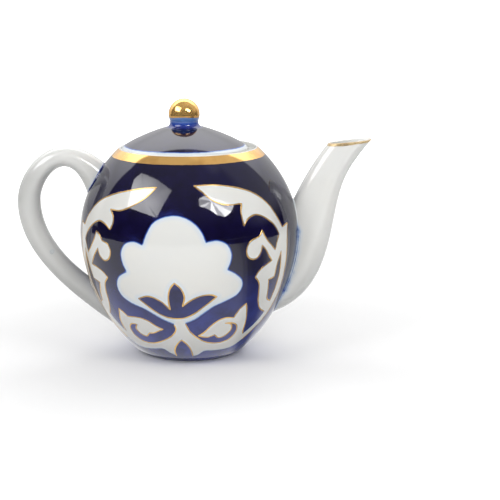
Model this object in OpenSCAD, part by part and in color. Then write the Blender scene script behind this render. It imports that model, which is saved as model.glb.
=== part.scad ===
// Folk-pattern porcelain teapot with a loose lid: round pot, luted spout and
// handle, gilded neck, lip and knob. Millimetres. +Z is up, +X points along the
// spout, and the origin is the middle of the foot, on the table.

/* [Pot] */
// Widest radius of the pot
belly_r = 63.1; // [61:0.1:65]
// Height of the widest circle
belly_z = 72; // [68:0.5:76]
// Radius of the foot where it meets the table
foot_r = 28; // [26:0.5:30]
// Outer radius of the rim
rim_r = 39.7; // [39:0.1:41]
// Height of the rim's outer edge
rim_z = 120.2; // [118:0.1:122]
// Thickness of the porcelain wall
wall = 3.7; // [3.2:0.1:4.2]

/* [Lid seat] */
// Inner radius of the recess that holds the lid
seat_r = 38.7; // [38:0.1:39]
// Height of the ledge that the lid rests on
ledge_z = 117.3; // [116:0.1:118]
// Radius of the mouth
mouth_r = 33.4; // [33:0.1:34.5]

/* [Lid] */
// Outer radius of the lid
lid_r = 36.1; // [35:0.1:36.4]
// How far off centre the lid lies in its seat, towards the handle
lid_shift = 2.2; // [0:0.1:2.3]
// Outer radius of the flange that hangs inside the mouth
flange_r = 30.8; // [29:0.1:30.8]
// Depth of the flange below the lid's edge
flange_depth = 10.5; // [6:0.5:14]
// Radius of the knob
knob_r = 9; // [8:0.1:10]
// Radius of the vent hole in the lid
vent_r = 1.3; // [1:0.1:1.8]

/* [Spout and handle] */
// Half width of the spout at its root, across the pot
spout_root_w = 15; // [13:0.5:16]
// Half width of the spout at its lip
spout_lip_w = 7.5; // [6.5:0.1:8]
// Half width of the handle, across the pot
handle_w = 7.4; // [6.5:0.1:8.5]
// Radius of the strainer holes behind the spout
strainer_r = 1.1; // [0.8:0.05:1.1]

/* [Gilding] */
// Thickness of the gilded skins
gilt = 0.3; // [0.2:0.05:0.4]
// Height of the gilded band's lower edge
gilt_z = 116.1; // [115:0.1:117]

/* [Hidden] */
$fn = 96;

porcelain = "#e9ebe8";
cobalt = "#1c1f63";
gold = "#d9a441";
biscuit = "#d8d0c2";

glaze_z = 1.3;            // where the glaze ends above the foot
under_z = 2.6;            // underside of the floor, inside the foot ring
floor_z = 6;              // inside floor at the middle
sink = 0.25;              // how deep luted pieces sit in the pot's surface
lid_gap = 0.1;            // the lid's edge over its ledge
lid_z = ledge_z + lid_gap;
knob_z = 139.3;           // centre of the knob
knob_cut = 137.4;         // height of the gilding's lower edge on the knob
cone_r = 11.8;            // top of the lid's cone, where the knob's neck starts
cone_z = 131.6;
bead_r = 1.1;             // radius of the slip bead round each luted joint
round_pts = 32;           // points round the spout
grip_pts = 24;            // points round the handle

function mix(a, b, t) = a + (b - a) * t;
function unit(v) = v / norm(v);
function ease(x, low, high) = let (t = max(0, min(1, (x - low) / (high - low)))) t * t * (3 - 2 * t);
function bez(p, t) = pow(1 - t, 3) * p[0] + 3 * pow(1 - t, 2) * t * p[1]
    + 3 * (1 - t) * t * t * p[2] + pow(t, 3) * p[3];
function curve(p, n, first = 0) = [for (i = [first:n]) bez(p, i / n)];

// Outer outline of the pot, [radius, height]: foot to belly, belly to rim
lower_side = [
    [foot_r - 2, 0], [foot_r + 8.7, 3.6], [belly_r, belly_z / 2], [belly_r, belly_z]
];
upper_side = [
    [belly_r, belly_z], [belly_r, belly_z + 25.3], [rim_r + 5, rim_z - 4], [rim_r, rim_z]
];
lower_pts = [for (p = curve(lower_side, 16)) if (p[1] > glaze_z) p];
upper_pts = curve(upper_side, 16, 1);
gilt_pts = concat(
    [[lookup(gilt_z, [for (p = upper_pts) [p[1], p[0]]]), gilt_z]],
    [for (p = upper_pts) if (p[1] > gilt_z) p]
);
gilt_seat = [for (p = gilt_pts) p - gilt * [0.64, 0.77]];
side_pts = concat(
    [[foot_r + 0.4, glaze_z]], lower_pts, [for (p = upper_pts) if (p[1] < gilt_z) p]
);
wall_r = [for (p = concat(side_pts, gilt_pts)) [p[1], p[0]]];

// Inner outline, from the mouth down to the middle of the floor
inner_upper = [
    [mouth_r, ledge_z - 2.4], [mouth_r + 7, ledge_z - 4.6],
    [belly_r - wall, belly_z + 22], [belly_r - wall, belly_z]
];
inner_lower = [
    [belly_r - wall, belly_z], [belly_r - wall, belly_z * 0.53],
    [foot_r + 7, floor_z + 0.8], [foot_r - 8, floor_z + 0.2]
];

function inside_pot(p) = norm([p[0], p[1]]) < lookup(p[2], wall_r) - sink;

// Point on an oval section between two side edges, given as [x, z]. egg narrows its inner end and
// ridge draws the two corners of that end out
function section(outer, inner, w, a, egg = 0, ridge = 0) =
    let (
        power = cos(a) < 0 ? 2 + ridge : 2,
        reach = pow(pow(abs(cos(a)), power) + pow(abs(sin(a)), power), -1 / power),
        c = (1 + cos(a) * reach) / 2
    )
    [mix(inner[0], outer[0], c), w * sin(a) * reach * (1 + egg * cos(a)), mix(inner[1], outer[1], c)];

// Spout: its front (under) edge and its back (upper) edge
front_low = [[44.5, 22.5], [78.2, 30.9], [80.5, 62.8], [85.6, 86.3]];
front_top = [[85.6, 86.3], [89, 101.9], [92.3, 108.1], [105.3, 123.6]];
back_edge = [[38, 36], [47.4, 57.9], [61.6, 99.1], [80.6, 121.3]];
front_knee = 0.6;         // share of the spout below the front edge's turn
spout_egg = 0.25;         // how far the section narrows towards the back edge
spout_ridge = 1.3;        // how far the section's back corners are drawn out near the lip

function front(s) = s < front_knee ? bez(front_low, s / front_knee)
    : bez(front_top, (s - front_knee) / (1 - front_knee));
function shell(s) = mix(3.2, 1.8, s);
function spout_at(s, a, inset) =
    let (f = front(s), b = bez(back_edge, s), t = inset * shell(s) * unit(f - b))
    section(f - t, b + t, mix(spout_root_w, spout_lip_w, s) - inset * shell(s), a, spout_egg,
            spout_ridge * ease(s, 0.3, 0.6));

// Handle: its outer and inner edges, from the upper joint to the lower one
grip_outer = [
    [[-42, 105], [-74.5, 141], [-99, 108.5], [-99, 89.5]],
    [[-99, 89.5], [-99, 55.5], [-63, 30.5], [-38, 12]]
];
grip_inner = [
    [[-56, 84], [-64.5, 128], [-85.7, 105.5], [-85.7, 90.3]],
    [[-85.7, 90.3], [-85.7, 67], [-66, 49.5], [-52, 40]]
];
casting_vent = [-79.4, 61];     // blind vent in the handle's side, [x, z]
function along(edge, s) = s < 0.5 ? bez(edge[0], 2 * s) : bez(edge[1], 2 * s - 1);
function handle_at(s, a, c = 1) =
    let (o = along(grip_outer, s), i = along(grip_inner, s), m = (o + i) / 2)
    section(mix(m, o, c), mix(m, i, c), c * (handle_w + 1.6 * pow(2 * s - 1, 6)), a);

// Where a line of the spout or the handle passes through the pot's surface
function spout_root(a, inset, low = 0, high = 0.7, n = 22) =
    let (s = (low + high) / 2)
    n == 0 ? s : inside_pot(spout_at(s, a, inset))
        ? spout_root(a, inset, s, high, n - 1) : spout_root(a, inset, low, s, n - 1);
function handle_root(a, buried, free, c = 1, n = 22) =
    let (s = (buried + free) / 2)
    n == 0 ? s : inside_pot(handle_at(s, a, c))
        ? handle_root(a, s, free, c, n - 1) : handle_root(a, buried, s, c, n - 1);

// Triangles between rings of m points; closed = true joins the last ring to the first
function belt(rings, m, closed) = [
    for (i = [0:rings - (closed ? 1 : 2)], k = [0:m - 1])
    let (j = (i + 1) % rings, q = (k + 1) % m)
    each [[i * m + k, j * m + k, i * m + q], [i * m + q, j * m + k, j * m + q]]
];

module pot_body() {
    color(cobalt) difference() {
        rotate_extrude() polygon(concat(
            [[0, under_z], [foot_r - 5.5, under_z], [foot_r - 4, glaze_z]],
            side_pts, gilt_seat,
            [[rim_r - 0.25, rim_z - 0.05], [rim_r - 0.4, rim_z + 0.35]],
            [[seat_r + 0.2, rim_z + 0.35], [seat_r, rim_z]],
            [[seat_r, ledge_z], [mouth_r, ledge_z]],
            curve(inner_upper, 10), curve(inner_lower, 12, 1), [[0, floor_z]]
        ));
        for (row = [0:6], side = row % 2 == 0 ? [-1, 1] : [-2, 0, 2])
            translate([0, side * 2.6, 44 + row * 4.6])
                rotate([0, 90, 0]) cylinder(r = strainer_r, h = belly_r + 5, $fn = 24);
    }
}

module foot_ring() {
    color(biscuit) rotate_extrude() polygon([
        [foot_r - 4, glaze_z], [foot_r - 3.6, 0.3], [foot_r - 3.2, 0],
        [foot_r - 0.6, 0], [foot_r - 0.1, 0.4], [foot_r + 0.4, glaze_z]
    ]);
}

module spout() {
    outer_rings = 20;
    inner_rings = 16;
    points = concat(
        [for (i = [0:outer_rings - 1], k = [0:round_pts - 1])
            let (a = 360 * k / round_pts)
            spout_at(mix(spout_root(a, 0), 1, i / (outer_rings - 1)), a, 0)],
        [for (i = [0:inner_rings - 1], k = [0:round_pts - 1])
            let (a = 360 * k / round_pts)
            spout_at(mix(1, spout_root(a, 1), i / (inner_rings - 1)), a, 1)]
    );
    color(porcelain)
        polyhedron(points, belt(outer_rings + inner_rings, round_pts, true), convexity = 6);
}

// A thin rounded line of slip along points that lie on the pot's surface
module bead(line) {
    m = len(line);
    sides = 8;
    points = [
        for (k = [0:m - 1])
        let (
            p = line[k],
            r = norm([p[0], p[1]]),
            slope = lookup(p[2] + 1, wall_r) - lookup(p[2] - 1, wall_r),
            up = unit([p[0] / r, p[1] / r, -slope / 2]),
            out = unit(cross(line[(k + 1) % m] - line[(k + m - 1) % m], up))
        )
        for (j = [0:sides - 1]) p + bead_r * (cos(45 * j) * up + sin(45 * j) * out)
    ];
    polyhedron(points, belt(m, sides, true), convexity = 4);
}

module spout_luting() {
    color(porcelain) bead([
        for (k = [0:round_pts - 1])
        let (a = 360 * k / round_pts) spout_at(spout_root(a, 0), a, 0)
    ]);
}

module handle() {
    rings = 34;
    m = grip_pts;
    points = concat(
        [for (i = [0:rings - 1], k = [0:m - 1])
            let (a = 360 * k / m, top = handle_root(a, 0, 0.2), end = handle_root(a, 1, 0.75))
            handle_at(mix(top, end, i / (rings - 1)), a)],
        [handle_at(handle_root(0, 0, 0.2, 0.01), 0, 0.01)],
        [handle_at(handle_root(0, 1, 0.75, 0.01), 0, 0.01)]
    );
    caps = [
        for (k = [0:m - 1])
        let (q = (k + 1) % m, last = (rings - 1) * m)
        each [[rings * m, k, q], [rings * m + 1, last + q, last + k]]
    ];
    color(porcelain) difference() {
        polyhedron(points, concat(belt(rings, m, false), caps), convexity = 6);
        translate([casting_vent[0], -handle_w - 2, casting_vent[1]])
            rotate([-90, 0, 0]) cylinder(r = 1.25, h = 3.1, $fn = 24);
    }
}

module handle_luting() {
    color(porcelain) for (ends = [[0, 0.2], [1, 0.75]]) bead([
        for (k = [0:grip_pts - 1])
        let (a = 360 * k / grip_pts) handle_at(handle_root(a, ends[0], ends[1]), a)
    ]);
}

module neck_gilding() {
    backs = [for (i = [len(gilt_seat) - 1:-1:0]) gilt_seat[i]];
    color(gold) rotate_extrude() polygon(concat(gilt_pts, backs));
}

// A gilded line laid over the rim of the spout's lip
module lip_gilding() {
    low = 0.984;
    points = [
        for (k = [0:round_pts - 1])
        let (
            a = 360 * k / round_pts,
            foot = spout_at(low, a, 0),
            top = spout_at(1, a, 0),
            mid = (spout_at(low, a, 1) + spout_at(1, a, 1)) / 2,
            out = gilt * unit((foot + top) / 2 - mid)
        )
        each [top - out / 3, top + out, foot + out, foot - out / 3]
    ];
    color(gold) polyhedron(points, belt(round_pts, 4, true), convexity = 4);
}

module lid() {
    dome = [[lid_r, lid_z + 3], [lid_r - 5, lid_z + 7], [20, cone_z - 2.6], [cone_r, cone_z]];
    hollow = [[flange_r - 3.2, lid_z], [24, lid_z + 4.2], [16, cone_z - 5.6], [7, cone_z - 3.8]];
    color(cobalt) translate([-lid_shift, 0, 0]) difference() {
        rotate_extrude() polygon(concat(
            [[0, cone_z - 3.6], [0, cone_z]],
            [for (i = [10:-1:0]) bez(dome, i / 10)],
            [[lid_r, lid_z + 0.8], [lid_r - 0.8, lid_z]],
            curve(hollow, 8)
        ));
        translate([0, 17, lid_z]) cylinder(r = vent_r, h = 20, $fn = 32);
    }
}

module lid_flange() {
    low = lid_z - flange_depth;
    color(porcelain) translate([-lid_shift, 0, 0]) rotate_extrude() polygon([
        [flange_r - 3.2, lid_z], [flange_r, lid_z], [flange_r, lid_z - 1],
        [flange_r - 0.6, low + 1], [flange_r - 1.2, low], [flange_r - 2.4, low],
        [flange_r - 3.2, low + 1]
    ]);
}

// Radius of the knob's ball at height z
function ball_r(z) = sqrt(knob_r * knob_r - pow(z - knob_z, 2));

module knob_neck() {
    waist = knob_z - 3.8;
    flare = [[cone_r, cone_z], [9.6, cone_z + 0.3], [8.4, cone_z + 1.2], [8.2, cone_z + 2.8]];
    color(cobalt) translate([-lid_shift, 0, 0]) rotate_extrude() polygon(concat(
        [[0, cone_z]], curve(flare, 8),
        [for (i = [0:4]) let (z = mix(waist, knob_cut, i / 4)) [ball_r(z), z]],
        [[0, knob_cut]]
    ));
}

module knob() {
    color(gold) translate([-lid_shift, 0, knob_z]) intersection() {
        sphere(r = knob_r);
        translate([0, 0, knob_cut - knob_z + knob_r])
            cube([2 * knob_r + 2, 2 * knob_r + 2, 2 * knob_r], center = true);
    }
}

pot_body();
foot_ring();
spout();
spout_luting();
handle();
handle_luting();
neck_gilding();
lip_gilding();
lid();
lid_flange();
knob_neck();
knob();
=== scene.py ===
"""Porcelain teapot with a cobalt and gold cotton-boll ornament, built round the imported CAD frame.

Shapes are worked out in millimetres in the CAD frame and turned into metres when a mesh is made.
Places on the pot are (azimuth, height): azimuth 0 faces the camera, +90 is the spout, -90 the handle.
"""
import math

import bmesh
import bpy
import numpy as np
from mathutils import Matrix, Vector
from mathutils.kdtree import KDTree


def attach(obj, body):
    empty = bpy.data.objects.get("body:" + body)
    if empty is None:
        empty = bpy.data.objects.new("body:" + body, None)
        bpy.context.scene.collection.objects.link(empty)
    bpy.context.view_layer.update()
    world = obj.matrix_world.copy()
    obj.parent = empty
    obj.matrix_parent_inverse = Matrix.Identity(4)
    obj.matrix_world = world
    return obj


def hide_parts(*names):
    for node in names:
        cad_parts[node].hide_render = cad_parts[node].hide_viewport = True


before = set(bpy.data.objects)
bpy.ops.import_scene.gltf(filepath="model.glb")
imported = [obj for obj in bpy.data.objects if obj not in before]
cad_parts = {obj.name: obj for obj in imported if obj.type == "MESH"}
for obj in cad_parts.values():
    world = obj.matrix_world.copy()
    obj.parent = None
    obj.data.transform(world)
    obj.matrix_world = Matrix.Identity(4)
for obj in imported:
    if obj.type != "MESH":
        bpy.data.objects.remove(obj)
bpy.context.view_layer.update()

MM = 0.001
PANEL = -7.5              # azimuth of the painted panel's middle
LID_SHIFT = -2.2          # the lid lies this far off centre


# ---------------- curves and meshes
def bez(p, t):
    """Points of a cubic Bezier curve at the values t."""
    p, t = np.asarray(p, float), np.atleast_1d(t)[:, None]
    return ((1 - t) ** 3 * p[0] + 3 * (1 - t) ** 2 * t * p[1]
            + 3 * (1 - t) * t ** 2 * p[2] + t ** 3 * p[3])


def run(p, n, first=0):
    """n steps along a Bezier curve, starting at step first."""
    return bez(p, np.arange(first, n + 1) / n)


def unit(v):
    return v / np.maximum(np.linalg.norm(v, axis=-1, keepdims=True), 1e-12)


def mix(a, b, t):
    return a + (b - a) * t


def full_turn(count):
    """Angles of count even steps round a circle."""
    return 2 * np.pi * np.arange(count) / count


def smooth_step(x, low, high):
    t = np.clip((x - low) / (high - low), 0, 1)
    return t * t * (3 - 2 * t)


def wobble(x, seed):
    """A fixed, gentle, uneven wave of about -1 to 1 along x."""
    waves = [np.sin(x * (1 + 0.83 * k) * 1.7 ** k + seed * (2.3 + 1.1 * k)) / (1 + k) for k in range(4)]
    return sum(waves) / 2.1


def about(r, a, z, shift=0):
    """Points at radius r, angle a and height z about an upright axis at x = shift."""
    r, a, z = np.broadcast_arrays(r, a, z)
    return np.stack([r * np.cos(a) + shift, r * np.sin(a), z], axis=-1)


def thread(points, step=0.35):
    """A smooth curve through the points, sampled about every step."""
    p = np.asarray(points, float)
    if len(p) == 2:
        n = max(1, int(np.ceil(np.linalg.norm(p[1] - p[0]) / step)))
        return mix(p[0], p[1], np.arange(n + 1)[:, None] / n)
    p = np.vstack([2 * p[0] - p[1], p, 2 * p[-1] - p[-2]])
    made = []
    for i in range(1, len(p) - 2):
        knots = np.cumsum([0] + [np.linalg.norm(p[j + 1] - p[j]) ** 0.5 for j in range(i - 1, i + 2)])
        n = max(2, int(np.ceil(np.linalg.norm(p[i + 1] - p[i]) / step)))
        t = mix(knots[1], knots[2], np.arange(n) / n)[:, None]
        a = [mix(p[i - 1 + k], p[i + k], (t - knots[k]) / (knots[k + 1] - knots[k])) for k in range(3)]
        b = [mix(a[k], a[k + 1], (t - knots[k]) / (knots[k + 2] - knots[k])) for k in range(2)]
        made.append(mix(b[0], b[1], (t - knots[1]) / (knots[2] - knots[1])))
    return np.vstack(made + [p[-2:-1]])


def add_object(name, data):
    obj = bpy.data.objects.new(name, data)
    bpy.context.scene.collection.objects.link(obj)
    return obj


def finish_mesh(obj, sharp=38):
    """Turns the faces outwards and makes them smooth, with an edge where they turn sharply."""
    bm = bmesh.new()
    bm.from_mesh(obj.data)
    bmesh.ops.recalc_face_normals(bm, faces=bm.faces)
    bm.to_mesh(obj.data)
    bm.free()
    obj.data.shade_smooth()
    obj.data.set_sharp_from_angle(angle=math.radians(sharp))
    return obj


def new_object(name, vertices, faces, sharp=38):
    mesh = bpy.data.meshes.new(name)
    mesh.from_pydata((np.asarray(vertices, float) * MM).tolist(), [], faces)
    mesh.validate()
    return finish_mesh(add_object(name, mesh), sharp)


def belt(rings, m, closed=False, first=0):
    """Quads between rings of m points each."""
    i, k = np.meshgrid(np.arange(rings if closed else rings - 1), np.arange(m), indexing="ij")
    j, q = (i + 1) % rings, (k + 1) % m
    quads = np.stack([i * m + k, i * m + q, j * m + q, j * m + k], axis=-1).reshape(-1, 4)
    return (quads + first).tolist()


def rings_object(name, rings, closed=False, poles=(None, None), sharp=38):
    """A skin over rings of points, closed by a point at each end if poles gives them."""
    rings = np.asarray(rings, float)
    n, m = rings.shape[:2]
    vertices = rings.reshape(-1, 3).tolist()
    faces = belt(n, m, closed)
    for end, pole in zip((0, n - 1), poles):
        if pole is not None:
            vertices.append(list(pole))
            faces += [[end * m + k, end * m + (k + 1) % m, len(vertices) - 1] for k in range(m)]
    return new_object(name, vertices, faces, sharp)


def revolved(name, profile, columns=384, shift=0.0, sharp=38):
    """A closed solid turned from (radius, height) points; it may begin and end on the axis."""
    profile = np.asarray(profile, float)
    poles = [None, None]
    for side, end in ((0, 0), (1, -1)):
        if profile[end, 0] == 0:
            poles[side] = (shift, 0, profile[end, 1])
    body = profile[profile[:, 0] > 0]
    rings = about(body[:, :1], full_turn(columns), body[:, 1:], shift)
    closed = poles[0] is None and poles[1] is None
    return rings_object(name, rings, closed, poles, sharp)


def drill(obj, holes, name):
    """Cuts round holes, each (start, end, radius) in millimetres, into obj and names its new mesh."""
    cutters = []
    for k, (start, end, radius) in enumerate(holes):
        start, end = Vector(start) * MM, Vector(end) * MM
        bm = bmesh.new()
        turn = (end - start).to_track_quat("Z", "Y").to_matrix().to_4x4()
        bmesh.ops.create_cone(bm, cap_ends=True, segments=32, radius1=radius * MM,
                              radius2=radius * MM, depth=(end - start).length,
                              matrix=Matrix.Translation((start + end) / 2) @ turn)
        mesh = bpy.data.meshes.new("cutter")
        bm.to_mesh(mesh)
        bm.free()
        cutters.append(add_object("cutter", mesh))
        cut = obj.modifiers.new(f"hole{k}", "BOOLEAN")
        cut.operation, cut.solver, cut.object = "DIFFERENCE", "MANIFOLD", cutters[-1]
    evaluated = obj.evaluated_get(bpy.context.evaluated_depsgraph_get())
    mesh = bpy.data.meshes.new_from_object(evaluated)
    obj.modifiers.clear()
    obj.data = mesh
    mesh.name = name
    for cutter in cutters:
        bpy.data.objects.remove(cutter)
    return finish_mesh(obj)


def tree_of(points):
    tree = KDTree(len(points))
    for k, p in enumerate(points):
        tree.insert(p, k)
    tree.balance()
    return tree


def set_attribute(obj, name, values, domain="POINT"):
    layer = obj.data.attributes.new(name, "FLOAT", domain)
    layer.data.foreach_set("value", np.asarray(values, np.float32))


def points_of(obj):
    """The vertices of obj in millimetres."""
    co = np.zeros(len(obj.data.vertices) * 3)
    obj.data.vertices.foreach_get("co", co)
    return co.reshape(-1, 3) / MM


# ---------------- the pot's outline
LOWER = [(26, 0), (36.7, 3.6), (63.1, 36), (63.1, 72)]
UPPER = [(63.1, 72), (63.1, 97.3), (44.7, 116.2), (39.7, 120.2)]
INNER_UPPER = [(33.4, 114.9), (40.4, 112.7), (59.4, 94), (59.4, 72)]
INNER_LOWER = [(59.4, 72), (59.4, 38.2), (35, 6.8), (20, 6.2)]
GLAZE_END = 0.35          # height where the glaze stops above the foot
BAND_LOW, BAND_TOP = 116.1, 120.2
OUTLINE = np.vstack([run(LOWER, 400), run(UPPER, 400, 1)])


def pot_radius(z):
    return np.interp(z, OUTLINE[:, 1], OUTLINE[:, 0])


def on_pot(az, z, out=0):
    """Points on the pot's outside, raised by out, with the outward directions there."""
    a, z = np.broadcast_arrays(np.radians(az), z)
    slope = (pot_radius(z + 0.4) - pot_radius(z - 0.4)) / 0.8
    up = unit(np.stack([np.sin(a), -np.cos(a), -slope], axis=-1))
    r = pot_radius(z)
    point = np.stack([r * np.sin(a), -r * np.cos(a), z], axis=-1)
    return point + up * np.asarray(out)[..., None], up


def is_inside(p, sink=0.25):
    return np.hypot(p[..., 0], p[..., 1]) < pot_radius(p[..., 2]) - sink


# ---------------- the painted ornament
# Each stretch of an outline is (gilded, points), and points are (azimuth, height).
G, N = True, False
FRAME = [
    # left leaf, its spur, the panel's left edge and the lower edge
    (G, [(-19.3, 104.8), (-30, 103.5), (-40, 101.4), (-50, 98.5), (-60, 93.5), (-67, 86), (-71, 79.2)]),
    (G, [(-71, 79.2), (-74, 79.8), (-77, 80.6)]),
    (G, [(-77, 80.6), (-75.8, 74), (-76.3, 58), (-77.5, 45), (-75, 30), (-70, 21.5), (-60.3, 13.6)]),
    (N, [(-60.3, 13.6), (-54, 9.6), (-46, 8.4), (-33, 9.1), (-23.2, 9.7), (-20, 7.8), (-13.6, 5)]),
    # bud
    (G, [(-13.6, 5), (-13.7, 8.6), (-12, 11.8), (-9.3, 14.7), (-6.4, 17)]),
    (G, [(-6.4, 17), (-3.5, 14.7), (-0.8, 11.8), (1.2, 8.2), (2.5, 5)]),
    # lower edge and the panel's right edge
    (N, [(2.5, 5), (7.3, 5.9), (12.1, 8.6), (20, 8.5), (34, 8.8), (40, 10.2), (45.3, 13.6)]),
    (G, [(45.3, 13.6), (52.2, 19.8), (57, 24.5), (60.4, 31), (62.4, 43), (61.6, 55), (60.8, 68), (60.8, 75),
         (62.1, 80.6)]),
    # spur and right leaf
    (G, [(62.1, 80.6), (59.2, 79.9), (56.2, 79.2)]),
    (G, [(56.2, 79.2), (53.3, 85), (50, 90.8), (46, 95.4), (39.4, 100.2), (30, 103.4), (22, 105.1),
         (13, 105.9), (3.2, 105.8)]),
    (G, [(3.2, 105.8), (7.8, 102.5), (11, 99.6), (14.8, 97.2), (21.2, 95.4), (30, 95.4)]),
    (G, [(30, 95.4), (28.7, 91.4), (28.7, 87.4), (29.3, 83.6)]),
    (G, [(29.3, 83.6), (32, 87), (36.7, 88.8), (41, 87.8), (46.9, 84), (50.4, 80.6), (53, 75.9)]),
    (G, [(53, 75.9), (51, 72), (49.5, 67.4)]),
    # right palmette
    (G, [(49.5, 67.4), (46.6, 70.4), (42.6, 75), (40.2, 79.9)]),
    (G, [(40.2, 79.9), (38.6, 77.2), (36.4, 76.2)]),
    (G, [(36.4, 76.2), (33.4, 75.3), (30.8, 72.8), (30, 69), (31.4, 65.8), (34.3, 64.4), (37, 65.2),
         (38.9, 68), (39.6, 71.6)]),
    (G, [(39.6, 71.6), (42, 69.2), (44.7, 65.2), (47.6, 61.7)]),
    (G, [(47.6, 61.7), (44.2, 60.3), (40.6, 58.4), (38.2, 56.2), (36.7, 53.6)]),
    (G, [(36.7, 53.6), (39.3, 51), (40.8, 47.6), (41.8, 42.8), (43.6, 37.6), (47, 33.2), (54.1, 29.8)]),
    (N, [(54.1, 29.8), (52, 26.4), (48, 22.2), (42, 17.7)]),
    (G, [(42, 17.7), (40.2, 20), (38.8, 25.4), (36.9, 31.5), (34.3, 38.3)]),
    # right scroll
    (G, [(34.3, 38.3), (30.8, 35.3), (29.1, 32.4), (28.1, 30)]),
    (G, [(28.1, 30), (23, 30.6), (18.6, 29.6), (13.7, 26.2), (9.4, 21.8), (5.7, 19.8)]),
    (G, [(5.7, 19.8), (9.6, 18.8), (13.4, 18.6), (17.2, 19.9)]),
    (G, [(17.2, 19.9), (21, 17.5), (26, 18.9), (28.8, 22.6), (27.4, 25.8), (22.5, 27.1)]),
    (G, [(22.5, 27.1), (28, 26.8), (32.2, 24.6), (33.6, 20.6), (31.4, 16.4), (26.5, 14.4), (19, 13.9),
         (11, 15.4), (4.4, 18.7), (-0.4, 23), (-3, 28)]),
    (N, [(-3, 28), (-6.5, 33), (-10.2, 27)]),
    # left scroll
    (G, [(-10.2, 27), (-9.3, 24.2), (-12, 20.3), (-18.5, 16.7), (-27, 13.9), (-35, 13.2), (-41.5, 14.3),
         (-45.6, 17.4), (-45.6, 22.2), (-42, 25), (-37.2, 25.2)]),
    (G, [(-37.2, 25.2), (-39.8, 22.2), (-38, 19.3), (-33.4, 17.9), (-29.8, 20.4)]),
    (G, [(-29.8, 20.4), (-26, 20.8), (-22.4, 22.2), (-18.3, 23.8)]),
    (G, [(-18.3, 23.8), (-22.6, 25.5), (-27, 28.4), (-32.6, 29.9), (-42.9, 29.7)]),
    (G, [(-42.9, 29.7), (-45.2, 32), (-48, 33.9)]),
    (G, [(-48, 33.9), (-50.2, 29.6), (-52.8, 25), (-54, 18.5)]),
    (N, [(-54, 18.5), (-59, 22.4), (-63.5, 28)]),
    # left palmette
    (G, [(-63.5, 28), (-59, 32.2), (-56, 37.4), (-54.7, 44), (-53, 48.6), (-49.2, 52.5)]),
    (G, [(-49.2, 52.5), (-52.6, 55.2), (-57, 57), (-63, 58)]),
    (G, [(-63, 58), (-59.4, 63), (-54.4, 68.8)]),
    (G, [(-54.4, 68.8), (-53.2, 64.9), (-49.4, 62.4), (-45.8, 64), (-44.1, 68.6), (-46, 72), (-50.8, 73.6)]),
    (G, [(-50.8, 73.6), (-52.6, 76.2), (-55.9, 78.1)]),
    (G, [(-55.9, 78.1), (-57.6, 73.8), (-61.4, 68.6), (-65.9, 64.3)]),
    (G, [(-65.9, 64.3), (-67.2, 68), (-68.8, 71.7)]),
    # under the left leaf
    (G, [(-68.8, 71.7), (-65.6, 76.6), (-60, 81.6), (-54.4, 84.2), (-49, 83.2), (-44.8, 80.6)]),
    (G, [(-44.8, 80.6), (-43.2, 84.2), (-44, 88), (-47.2, 91.4)]),
    (G, [(-47.2, 91.4), (-40, 91.4), (-33, 94.2), (-25.6, 98.8), (-19.3, 104.8)]),
]
SLITS = [
    [(G, [(54.9, 65.9), (52.3, 58.4), (51.7, 51.5)]), (G, [(51.7, 51.5), (47.1, 50.6)]),
     (G, [(47.1, 50.6), (49, 44), (50.8, 38.6), (55.2, 36.2)]),
     (G, [(55.2, 36.2), (56.3, 46), (56.2, 56), (54.9, 65.9)])],
    [(G, [(-69.9, 65.9), (-67.4, 57.4), (-66, 49)]), (G, [(-66, 49), (-58.5, 47.8)]),
     (G, [(-58.5, 47.8), (-62, 42), (-65, 36.6), (-69.8, 34)]),
     (G, [(-69.8, 34), (-71.5, 45), (-71, 56), (-69.9, 65.9)])],
]
SEPALS = [
    (G, [(-29.8, 42.5), (-23, 44.5), (-16.4, 41.9), (-11.4, 36.9)]),
    (G, [(-11.4, 36.9), (-11.9, 44), (-10.6, 49.6), (-8, 53.2)]),
    (G, [(-8, 53.2), (-4.6, 49.6), (-2.9, 44.6), (-4.2, 39)]),
    (G, [(-4.2, 39), (0.6, 42.9), (6, 45.3), (11, 45.8), (15, 44.5)]),
    (G, [(15, 44.5), (8.9, 39.4), (2.4, 34.3), (-3.4, 31.7), (-8.6, 31.2), (-14.6, 32.2), (-21.8, 36),
         (-29.8, 42.5)]),
]
BOLL = [
    (N, [(-10.4, 27.5), (-18, 30.8), (-27, 36), (-36.4, 39.4), (-41.4, 43), (-42.9, 48.4), (-40.4, 54),
         (-34.3, 58)]),
    (N, [(-34.3, 58), (-36.4, 63), (-36.8, 69.2), (-34, 74), (-29, 75.6), (-24, 74)]),
    (N, [(-24, 74), (-22.2, 80), (-18.8, 86.4), (-13, 89.7), (-6, 90.4), (1, 87.6), (5.8, 82.4),
         (8.3, 76.1)]),
    (N, [(8.3, 76.1), (14, 76.8), (19.2, 74.2), (21.5, 68.6), (21, 64), (19.5, 60.1)]),
    (N, [(19.5, 60.1), (24.6, 57), (28.4, 53), (29, 49), (26.6, 44.6), (20, 41.2), (13.6, 38.4), (8.3, 34.5),
         (3, 30.6), (-3.2, 28)]),
    (N, [(-3.2, 28), (-6.6, 22), (-10.4, 27.5)]),
]


def loop_of(stretches):
    return np.vstack([thread(points)[:-1] for _, points in stretches])


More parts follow.
